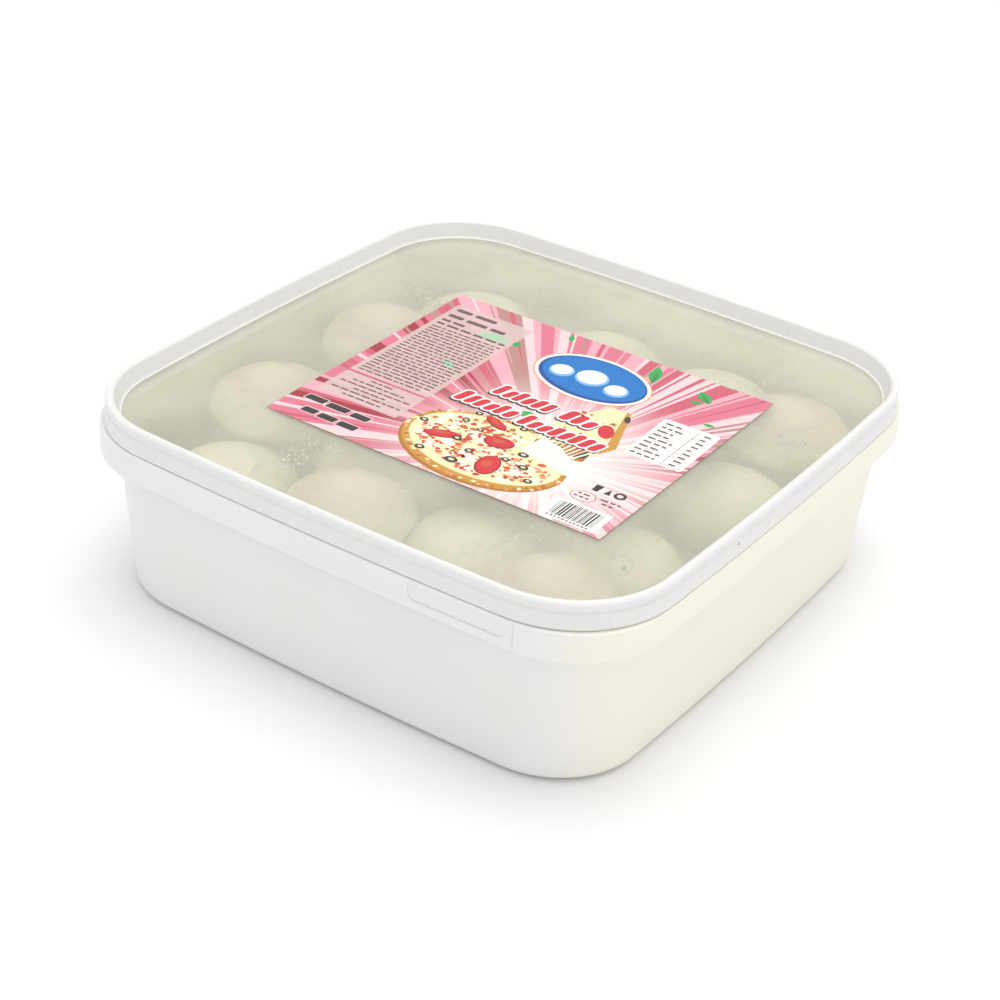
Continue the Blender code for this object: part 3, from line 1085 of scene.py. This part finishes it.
@dataclass
class Label:
    """The printed label: a sheet on the lid, and flat inks in thin layers over each other."""

    long_mm: float = 158.0
    deep_mm: float = 136.0
    turn_deg: float = 0.7
    burst: tuple[float, float] = (28.0, -31.0)
    layer_mm: float = 0.016
    hair_steps: int = 8
    shapes: list[tuple[Outline, Ink, float]] = field(default_factory=list)

    def add(self, outline: Outline, ink: Ink, layer: int) -> None:
        """Put one shape of ink on a layer, each a hair above the last so that none coincide."""
        step = len(self.shapes) % self.hair_steps
        self.shapes.append((outline, ink, layer - 1 + (step + 1) / self.hair_steps))

    def edge_point(self, angle: float) -> tuple[float, float]:
        """Where a ray from the burst leaves the label.

        Args:
            angle: The ray's direction in radians.

        Returns:
            The point on the label's edge, in mm.
        """
        u, v = self.burst
        cos, sin = math.cos(angle), math.sin(angle)
        reach = []
        if abs(cos) > 1e-9:
            reach.append((math.copysign(self.long_mm / 2, cos) - u) / cos)
        if abs(sin) > 1e-9:
            reach.append((math.copysign(self.deep_mm / 2, sin) - v) / sin)
        nearest = min(reach)
        return u + nearest * cos, v + nearest * sin

    def draw_rays(self) -> None:
        """Rays of light and dark pink that burst from behind the pizza to the label's edges."""
        rng = random.Random(5)
        u, v = self.burst
        corners = [(math.atan2(y * self.deep_mm / 2 - v, x * self.long_mm / 2 - u) % math.tau,
                    (x * self.long_mm / 2, y * self.deep_mm / 2))
                   for x in (-1, 1) for y in (-1, 1)]
        light = [Ink.PALE, Ink.BLUSH, Ink.PALE, Ink.BLUSH, Ink.PALE]
        mid = [Ink.PINK, Ink.ROSE, Ink.PINK, Ink.DUSTY]
        start = 0.0
        bright = True
        while start < 360.0:
            end = min(360.0, start + rng.uniform(3.0, 6.5))
            middle = (start + end) / 2
            dark = 133 < middle < 196 or 22 < middle < 47
            if bright:
                ink = rng.choice(light) if not dark else rng.choice([Ink.BLUSH, Ink.PINK])
            else:
                ink = rng.choice(mid) if not dark else rng.choice([Ink.MAROON, Ink.MAROON, Ink.ROSE])
            low, high = math.radians(start), math.radians(end)
            outline = [(u, v), self.edge_point(low)]
            outline += [point for angle, point in sorted(corners) if low < angle < high]
            outline.append(self.edge_point(high))
            self.add(outline, ink, 1)
            start = end
            bright = not bright
        for streak in range(90):
            middle = math.radians(4.0 * streak + rng.uniform(-1.0, 1.0))
            spread = math.radians(rng.uniform(0.25, 0.9))
            near = rng.uniform(0.0, 0.55)
            ends = [self.edge_point(middle - spread), self.edge_point(middle + spread)]
            start_point = (u + (ends[0][0] - u) * near, v + (ends[0][1] - v) * near)
            self.add([start_point, *ends], rng.choice([Ink.DUSTY, Ink.ROSE, Ink.PALE, Ink.BLUSH,
                                                       Ink.PINK]), 2)

    def draw_words(self, left: float, right: float, top: float, height: float, rng: random.Random,
                   ink: Ink, layer: int, letters: tuple[float, float] = (2.0, 7.0)) -> None:
        """One line of plain dashes in place of small print.

        Args:
            left: Where the line starts, in mm.
            right: Where it ends.
            top: Its upper edge.
            height: How tall the dashes are.
            rng: The source of their lengths.
            ink: Their ink.
            layer: Their layer.
            letters: The shortest and longest dash.
        """
        start = left
        while start < right - letters[0] / 2:
            end = min(right, start + rng.uniform(*letters))
            self.add(bar(start, top - height, end, top, height * 0.3), ink, layer)
            start = end + height * 0.75

    def draw_panels(self) -> None:
        """Pale panels of small print down the left, and two bold lines under them."""
        rng = random.Random(8)
        self.add(bar(-74.0, -20.2, -33.8, 58.6), Ink.PANEL, 3)
        self.add(bar(-74.0, -42.5, -33.8, -21.6), Ink.PANEL, 3)
        self.draw_words(-71.5, -46.5, 55.6, 2.6, rng, Ink.TEXT, 5, (7.0, 11.0))
        self.draw_words(-71.5, -40.0, 49.2, 2.6, rng, Ink.TEXT, 5, (7.0, 12.0))
        self.draw_words(-71.5, -58.0, 43.6, 1.8, rng, Ink.TEXT, 5, (4.0, 6.0))
        self.draw_words(-71.5, -36.0, 39.6, 1.6, rng, Ink.TEXT, 5, (3.0, 8.0))
        top = 35.6
        while top > -18.0:
            short = -40.0 if top < -15.0 else -36.0
            self.draw_words(-71.5, short, top, 0.95, rng, Ink.TEXT, 5, (1.6, 5.5))
            top -= 2.62
        for index, (left, right) in enumerate(((-60, -48), (-67, -41), (-71, -36), (-62, -46),
                                               (-71, -36), (-63, -44))):
            self.draw_words(left, right, -23.2 - 3.1 * index, 0.95, rng, Ink.TEXT, 5, (1.6, 5.0))
        for left, right, top in ((-72.5, -63.0, -48.0), (-61.5, -51.0, -48.6), (-49.0, -40.5, -49.0),
                                 (-67.5, -60.5, -57.2), (-59.0, -50.5, -57.6), (-49.0, -40.0, -58.0)):
            self.add(bar(left - 0.5, top - 4.4, right + 0.5, top + 0.5, 0.7, 0.6), Ink.PALE, 3)
            self.add(bar(left, top - 3.9, right, top, 0.6, 0.6), Ink.BLACK, 4)

    def draw_badge(self) -> None:
        """A plain blue oval in white and orange outlines, with three white balls on it."""
        u, v, turn = 9.5, 37.5, -4.0
        self.add(ellipse(u, v, 27.6, 19.4, turn, 64), Ink.ORANGE, 4)
        self.add(ellipse(u, v, 27.0, 18.8, turn, 64), Ink.WHITE, 5)
        self.add(ellipse(u, v, 25.4, 17.2, turn, 64), Ink.NAVY, 6)
        self.add(ellipse(u + 0.3, v + 0.7, 24.2, 15.8, turn, 64), Ink.BLUE, 7)
        for offset, lift, size in ((-14.2, -1.6, 5.6), (13.4, -3.2, 5.6), (-0.5, 0.4, 7.4)):
            self.add(ellipse(u + offset, v + lift, size, size * 0.95), Ink.SKY, 8)
            self.add(ellipse(u + offset - 0.5, v + lift + 0.8, size - 0.9, size * 0.95 - 1.0),
                     Ink.WHITE, 9)

    def draw_ribbons(self) -> None:
        """Two rows of plain red lozenges in white and dark outlines, in place of the name."""
        rng = random.Random(17)
        for left, right, bottom, top in ((-16.4, 11.8, 0.4, 10.0), (16.4, 32.6, -0.2, 9.4),
                                         (-26.0, 2.4, -13.4, -3.8), (5.6, 44.4, -14.4, -4.8)):
            count = round((right - left) / 5.0)
            pitch = (right - left) / count
            for index in range(count):
                start = left + pitch * index + rng.uniform(0.3, 0.7)
                end = left + pitch * (index + 1) - rng.uniform(0.3, 0.7)
                rise = top - (0.0 if index == 0 else rng.uniform(0.6, 3.2))
                corner = 0.42 * (end - start)
                sides = (start, bottom, end, rise)
                for grow, drop, ink, layer in ((1.1, 0.9, Ink.BLACK, 6), (0.9, 0.0, Ink.WHITE, 7),
                                               (0.0, 0.0, Ink.RED, 8)):
                    self.add(bar(sides[0] - grow, sides[1] - grow - drop, sides[2] + grow,
                                 sides[3] + grow - drop, corner + 0.6 * grow, 2.2), ink, layer)

    def draw_pizza(self) -> None:
        """A round pizza seen at a slant, with a slice lifted off it on strings of cheese."""
        rng = random.Random(21)
        u, v, wide, deep = 8.2, -40.6, 37.6, 25.6
        self.add(ellipse(u, v - 1.0, wide, deep, -4.0, 72), Ink.BAKED, 3)
        self.add(ellipse(u, v, wide - 0.6, deep - 0.9, -4.0, 72), Ink.CRUST, 4)
        self.add(ellipse(u, v + 1.5, wide - 2.6, deep - 3.2, -4.0, 72), Ink.CHEESE, 5)
        gap = [(u + 11.0, v + 9.0), (u + 38.5, v + 3.0), (u + 33.0, v + 13.5), (u + 23.0, v + 20.5),
               (u + 13.0, v + 24.0)]
        inside = []
        while len(inside) < 430:
            a, b = rng.uniform(-1, 1), rng.uniform(-1, 1)
            if math.hypot(a, b) < 0.95 and not (a > 0.25 and b > 0.25):
                inside.append((u + a * (wide - 4.5), v + 1.5 + b * (deep - 5.0) - 0.07 * a * wide))
        for index, (x, y) in enumerate(inside):
            ink = (Ink.SAUCE, Ink.CREAM, Ink.SAUCE, Ink.BAKED, Ink.CREAM, Ink.RED, Ink.ORANGE)[index % 7]
            size = rng.uniform(0.5, 1.7) if ink is not Ink.CREAM else rng.uniform(0.9, 2.6)
            self.add(blob(x, y, size, rng), ink, 6 + index % 3)
        for step in range(110):
            angle = math.tau * step / 110
            reach = rng.uniform(0.93, 0.985)
            x = u + wide * reach * math.cos(angle)
            y = v + 0.6 + (deep - 0.5) * reach * math.sin(angle) - 0.07 * wide * math.cos(angle)
            ink = rng.choice([Ink.BAKED, Ink.ORANGE, Ink.CHEESE, Ink.CRUST])
            self.add(blob(x, y, rng.uniform(0.5, 1.3), rng), ink, 6)
        self.draw_toppings(u, v)
        self.add(gap, Ink.PALE, 10)
        self.draw_slice(u, v, rng)

    def draw_toppings(self, u: float, v: float) -> None:
        """Tomato slices, strips of red pepper and rings of black olive on the pizza.

        Args:
            u: The pizza's middle along the label, in mm.
            v: Its middle across the label.
        """
        for x, y, wide, deep, turn in ((1.5, 8.5, 6.6, 4.4, 8), (8.0, -9.0, 5.0, 7.6, 14),
                                       (-20.0, 0.0, 8.0, 3.0, 22), (-8.0, 20.5, 6.5, 2.6, -24)):
            self.add(ellipse(u + x, v + y, wide, deep, turn, 28), Ink.DARK_RED, 9)
            self.add(ellipse(u + x, v + y + 0.3, wide - 0.6, deep - 0.6, turn, 28), Ink.RED, 10)
            self.add(ellipse(u + x - 0.8, v + y + 0.7, wide * 0.45, deep * 0.35, turn, 20),
                     Ink.SAUCE, 11)
        rings = ((-19.0, 15.0, 1.8), (-13.5, 0.8, 2.3), (-4.0, -4.5, 2.0), (-5.5, -14.5, 2.9),
                 (14.5, 6.3, 2.4), (11.0, -1.0, 1.9), (19.8, -2.0, 2.4), (-18.0, 23.0, 1.8),
                 (3.2, 23.6, 1.9), (-32.5, 5.0, 2.0), (27.0, -9.5, 2.0), (-21.0, -14.0, 2.2),
                 (-10.0, 12.0, 1.6))
        for x, y, size in rings:
            self.add(ellipse(u + x, v + y, size, size * 0.75, 0, 20), Ink.OLIVE, 11)
            self.add(ellipse(u + x, v + y + 0.1, size * 0.45, size * 0.3, 0, 14), Ink.CHEESE, 12)

    def draw_slice(self, u: float, v: float, rng: random.Random) -> None:
        """The lifted slice, tip down to the left, with strings of cheese under it.

        Args:
            u: The pizza's middle along the label, in mm.
            v: Its middle across the label.
            rng: The source of its scattered bits and of its strings.
        """
        slice_edge = [(29.0, 21.5), (37.0, 21.8), (47.6, -6.5), (45.2, -14.0), (42.0, -24.8),
                      (20.0, -28.0), (17.5, -3.0), (24.0, 12.0)]
        self.add(slice_edge, Ink.CHEESE, 5)
        self.add([(36.0, 22.5), (38.6, 21.0), (48.4, -6.8), (45.0, -15.0), (43.8, -6.0)],
                 Ink.CRUST, 6)
        self.add([(42.6, -14.6), (43.5, -24.0), (34.0, -27.0), (20.5, -28.0), (19.0, -20.0),
                  (32.0, -16.0)], Ink.BAKED, 6)
        for _ in range(34):
            x = rng.uniform(21.0, 42.0)
            y = rng.uniform(-24.0, 14.0)
            ink = rng.choice([Ink.SAUCE, Ink.BAKED, Ink.CREAM, Ink.RED])
            self.add(blob(x, y, rng.uniform(0.6, 1.6), rng), ink, 7)
        self.add(ellipse(38.0, 2.5, 3.4, 5.6, 30, 24), Ink.RED, 8)
        self.add(ellipse(39.5, 16.5, 1.3, 2.8, 25, 18), Ink.OLIVE, 8)
        self.add(ellipse(40.8, -19.5, 2.0, 3.4, -10, 18), Ink.OLIVE, 8)
        for index in range(11):
            top_u = 18.5 + 2.4 * index
            low_u = u + 12.5 + 1.6 * index
            wide = rng.uniform(0.18, 0.55)
            low_v = v + rng.uniform(7.0, 12.0)
            self.add([(top_u - wide, -16.0), (low_u - wide, low_v), (low_u + wide, low_v),
                      (top_u + wide, -16.0)], Ink.CREAM, 12)

    def draw_table(self) -> None:
        """A white table of rules and dashes, turned a little, on the right."""
        rng = random.Random(3)
        self.add(bar(51.2, -6.6, 77.0, 28.2, 1.6, 0.0, 1.6), Ink.WHITE, 3)
        for row in range(9):
            top = 26.0 - 3.55 * row
            lean = 0.028
            self.draw_words(53.0, 53.0 + rng.uniform(6, 12), top - 0.9, 1.2, rng, Ink.TEXT, 4,
                            (2.0, 5.0))
            self.draw_words(70.5, 74.2, top - 0.5, 1.2, rng, Ink.TEXT, 4, (2.0, 4.0))
            for dash in range(16):
                left = 52.4 + 1.5 * dash
                rise = (left - 64.0) * lean
                self.add(bar(left, top - 2.9 + rise, left + 0.9, top - 2.65 + rise), Ink.TEXT, 4)
        self.add(bar(67.6, -5.0, 67.85, 27.0), Ink.TEXT, 4)

    def draw_marks(self) -> None:
        """A barcode-like row of bars, a plain oval and three small plain shapes, lower right."""
        rng = random.Random(14)
        self.add(bar(50.2, -66.4, 75.0, -51.4, 0.3, 0.0, 1.2), Ink.WHITE, 3)
        left = 53.2
        while left < 72.4:
            wide = rng.choice((0.28, 0.28, 0.5, 0.8))
            self.add(bar(left, -63.6, left + wide, -53.0), Ink.BLACK, 4)
            left += wide + rng.choice((0.3, 0.36, 0.6))
        self.draw_words(53.2, 72.6, -64.4, 0.9, rng, Ink.TEXT, 4, (0.8, 1.4))
        self.add(ellipse(57.6, -45.6, 5.4, 3.9), Ink.DARK_RED, 3)
        self.add(ellipse(57.6, -45.6, 5.1, 3.6), Ink.BLUSH, 4)
        self.draw_words(54.6, 60.6, -43.6, 1.0, rng, Ink.TEXT, 5, (1.5, 3.0))
        self.draw_words(54.0, 61.2, -46.0, 1.0, rng, Ink.TEXT, 5, (1.5, 3.0))
        self.draw_words(64.2, 73.0, -42.8, 1.1, rng, Ink.TEXT, 3, (2.0, 4.0))
        self.draw_words(66.2, 71.0, -45.4, 1.1, rng, Ink.TEXT, 3, (2.0, 4.0))
        self.add([(57.6, -39.5), (60.0, -39.5), (60.6, -34.6), (57.2, -34.6)], Ink.BLACK, 3)
        self.add([(62.6, -39.2), (65.4, -39.2), (64.0, -34.8)], Ink.BLACK, 3)
        self.add(ellipse(69.0, -37.0, 2.6, 2.5, 0, 24), Ink.BLACK, 3)
        self.add(ellipse(69.0, -37.0, 1.3, 1.2, 0, 20), Ink.PALE, 4)

    def draw_leaves(self) -> None:
        """Green leaves that drift over the rays, pale where they lie under a panel."""
        for u, v, long, wide, turn, ink, layer in (
                (28.0, 58.0, 15.0, 5.6, -72, Ink.LEAF, 4), (29.2, 55.5, 11.0, 2.0, -72,
                                                             Ink.LEAF_DARK, 5),
                (54.5, 53.6, 11.0, 5.4, -42, Ink.LEAF, 4), (55.2, 52.6, 8.0, 1.8, -42,
                                                            Ink.LEAF_DARK, 5),
                (53.6, 47.6, 5.4, 2.8, 10, Ink.LEAF, 4), (67.4, 34.0, 5.0, 2.4, 6, Ink.LEAF, 4),
                (-17.6, 63.6, 6.4, 2.6, -62, Ink.LEAF, 4), (-32.6, 43.2, 4.6, 3.8, -60,
                                                            Ink.LEAF, 4),
                (-44.0, 42.4, 17.0, 6.4, 8, Ink.LEAF_PALE, 4), (-44.6, 9.4, 11.0, 4.0, -40,
                                                                Ink.LEAF_PALE, 4),
                (5.0, -5.6, 8.0, 4.6, 24, Ink.LEAF, 4)):
            self.add(leaf(u, v, long, wide, turn), ink, layer)

    def build(self) -> None:
        """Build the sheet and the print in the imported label's box."""
        low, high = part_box("label")
        centre = (low + high) / 2
        frame = Matrix.Translation((centre.x, centre.y, 0)) @ Matrix.Rotation(
            math.radians(self.turn_deg), 4, "Z")
        burst = frame @ Vector((self.burst[0] * MM, self.burst[1] * MM, high.z))
        for draw in (self.draw_rays, self.draw_panels, self.draw_badge, self.draw_leaves,
                     self.draw_pizza, self.draw_ribbons, self.draw_table, self.draw_marks):
            draw()
        sheet_top = high.z - 13 * self.layer_mm * MM
        inks = list(dict.fromkeys(ink for _, ink, _ in self.shapes))
        materials = [ink.build(burst) for ink in inks]
        sheet = bmesh.new()
        self.prism(sheet, bar(-self.long_mm / 2, -self.deep_mm / 2, self.long_mm / 2,
                              self.deep_mm / 2, 0.8), frame, low.z, sheet_top, 0)
        piece = mesh_object("label_sheet", sheet, [Ink.PALE.build(burst)], 30.0)
        place_piece(piece, "printed_label", "label")
        bm = bmesh.new()
        for outline, ink, layer in self.shapes:
            self.prism(bm, outline, frame, sheet_top - 0.005 * MM,
                       sheet_top + layer * self.layer_mm * MM, inks.index(ink))
        bmesh.ops.recalc_face_normals(bm, faces=bm.faces)
        piece = mesh_object("label_print", bm, materials, 30.0)
        place_piece(piece, "printed_label")

    def prism(self, bm: bmesh.types.BMesh, outline: Outline, frame: Matrix, bottom: float,
              top: float, slot: int) -> None:
        """Add a flat shape of a small thickness to a mesh.

        Args:
            bm: The mesh that it joins.
            outline: Its outline in label mm.
            frame: The label's place.
            bottom: Height of its underside in metres.
            top: Height of its upper side in metres.
            slot: Its material slot.
        """
        upper = [bm.verts.new(frame @ Vector((u * MM, v * MM, top))) for u, v in outline]
        lower = [bm.verts.new(frame @ Vector((u * MM, v * MM, bottom))) for u, v in outline]
        faces = [bm.faces.new(upper), bm.faces.new(list(reversed(lower)))]
        count = len(outline)
        for index in range(count):
            after = (index + 1) % count
            faces.append(bm.faces.new((lower[index], lower[after], upper[after], upper[index])))
        for face in faces:
            face.material_index = slot


@dataclass
class Fleck:
    """A thin dark fleck that sticks to the lid's side on +X."""

    face_mm: float
    y_mm: float = -41.1
    z_mm: float = 81.0
    long_mm: float = 1.5
    wide_mm: float = 0.42

    def build(self) -> None:
        """Build the fleck as a bent, uneven sliver."""
        rng = random.Random(2)
        bm = bmesh.new()
        bmesh.ops.create_icosphere(bm, subdivisions=2, radius=1.0)
        for vert in bm.verts:
            bend = 0.5 * vert.co.z ** 2 * self.wide_mm
            rough = rng.uniform(0.85, 1.15)
            vert.co = Vector((self.face_mm + 0.1 * vert.co.x * rough,
                              self.y_mm + 0.5 * self.wide_mm * vert.co.y * rough + bend,
                              self.z_mm + 0.5 * self.long_mm * vert.co.z * rough)) * MM
        material, tree = new_material("dust_fleck")
        place = add_node(tree, "ShaderNodeTexCoord").outputs["Object"]
        mottle = add_node(tree, "ShaderNodeTexNoise", {"Vector": place, "Scale": 1 / (0.4 * MM)})
        colour = add_node(tree, "ShaderNodeMix", {0: mottle.outputs["Fac"], 6: linear("#5A5248"),
                                                  7: linear("#2E2A26")}, data_type="RGBA").outputs[2]
        shader = add_node(tree, "ShaderNodeBsdfPrincipled", {"Base Color": colour, "Roughness": 0.8})
        add_node(tree, "ShaderNodeOutputMaterial", {"Surface": shader.outputs["BSDF"]})
        place_piece(mesh_object("lid_fleck", bm, [material], 60.0), "natural_polypropylene")


# ------------------------------------------------------------------------------- the studio
@dataclass
class Studio:
    """Pale paper, soft white lamps and a camera that looks down on the tub's front corner."""

    azimuth_deg: float = 33.18
    elevation_deg: float = 30.94
    roll_deg: float = 3.62
    distance: float = 0.888
    lens_mm: float = 78.3
    target: tuple[float, float, float] = (0.0122, -0.0221, 0.0450)
    sky: float = 0.72

    def build_floor(self) -> None:
        """Build the paper floor, just under the tub's base."""
        bm = bmesh.new()
        bmesh.ops.create_grid(bm, x_segments=24, y_segments=24, size=4.0)
        floor = mesh_object("studio_floor", bm, [StudioPaper().build()], 30.0)
        floor.location.z = -0.0002

    def build_camera(self) -> None:
        """Build the camera from its angles, distance and roll."""
        azimuth, elevation = math.radians(self.azimuth_deg), math.radians(self.elevation_deg)
        back = Vector((math.sin(azimuth) * math.cos(elevation),
                       -math.cos(azimuth) * math.cos(elevation), math.sin(elevation)))
        right = Vector((0, 0, 1)).cross(back).normalized()
        up = back.cross(right)
        turn = Matrix((right, up, back)).transposed()
        turn = turn @ Matrix.Rotation(math.radians(self.roll_deg), 3, "Z")
        data = bpy.data.cameras.new("camera")
        data.lens = self.lens_mm
        data.sensor_width = 36.0
        camera = bpy.data.objects.new("camera", data)
        camera.matrix_world = (Matrix.Translation(Vector(self.target) + back * self.distance)
                               @ turn.to_4x4())
        bpy.context.scene.collection.objects.link(camera)
        bpy.context.scene.camera = camera

    def build_lamp(self, name: str, place: tuple[float, float, float], size: float,
                   watts: float) -> None:
        """Build one square softbox that faces the tub.

        Args:
            name: The lamp's name.
            place: Where it hangs, in metres.
            size: Its side, in metres.
            watts: Its power.
        """
        data = bpy.data.lights.new(name, "AREA")
        data.size = size
        data.energy = watts
        lamp = bpy.data.objects.new(name, data)
        lamp.location = place
        lamp.rotation_euler = (Vector(place) - Vector((0, 0, 0.04))).to_track_quat("Z", "Y").to_euler()
        bpy.context.scene.collection.objects.link(lamp)

    def build_world(self) -> None:
        """Build an even white surround."""
        world = bpy.data.worlds.new("white_surround")
        world.use_nodes = True
        tree = world.node_tree
        tree.nodes.clear()
        background = add_node(tree, "ShaderNodeBackground", {"Color": (1, 1, 1, 1),
                                                             "Strength": self.sky})
        add_node(tree, "ShaderNodeOutputWorld", {"Surface": background.outputs["Background"]})
        bpy.context.scene.world = world

    def build(self) -> None:
        """Build everything that isn't part of the object."""
        bpy.context.scene.view_settings.view_transform = "Standard"
        self.build_world()
        self.build_floor()
        self.build_camera()
        self.build_lamp("key_softbox", (1.3, -0.9, 1.5), 1.3, 3.5)
        self.build_lamp("fill_softbox", (-1.5, -0.6, 1.1), 1.2, 2.0)
        self.build_lamp("top_softbox", (0.1, 0.2, 1.9), 1.8, 21.0)


# ------------------------------------------------------------------------------- all of it
def wall_contacts(nodes: list[str], half_mm: float) -> tuple[tuple[float, float, float], ...]:
    """Where the balls lean on the tub's wall, in mm.

    Args:
        nodes: The balls' node names.
        half_mm: Half width of the wall's outside at the balls' height.

    Returns:
        Points on the outside of the wall.
    """
    reach = 34.0
    contacts = []
    for node in nodes:
        low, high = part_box(node)
        centre = (low + high) / (2 * MM)
        for axis in (0, 1):
            if half_mm - abs(centre[axis]) < reach:
                spot = [centre.x, centre.y, min(centre.z, 33.0)]
                spot[axis] = math.copysign(half_mm, centre[axis])
                contacts.append(tuple(spot))
    return tuple(contacts)


def main() -> None:
    """Build the tub, its contents, the lid, the label and the studio, in that order."""
    logging.basicConfig(level=logging.INFO, format="%(message)s")
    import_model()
    tub_low, tub_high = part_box("tub")
    lid_low, lid_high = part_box("lid")
    brine_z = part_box("brine")[1].z
    nodes = [f"mozzarella_ball_{index:02d}" for index in range(1, 17)]
    bow = 1.5
    plan = RoundedSquare(bow)
    half = tub_high.x / MM - bow / 2
    tub = Tub(plan, half, tub_high.z / MM, wall_contacts(nodes, 122.5), brine_z)
    tub.build()
    Contents(plan, tub, nodes, brine_z).build()
    Lid(plan, half - 0.4, lid_high.z / MM, lid_low.z / MM).build()
    Label().build()
    Fleck(tub_high.x / MM - 0.5).build()
    Studio().build()


if __name__ == "__main__":
    main()
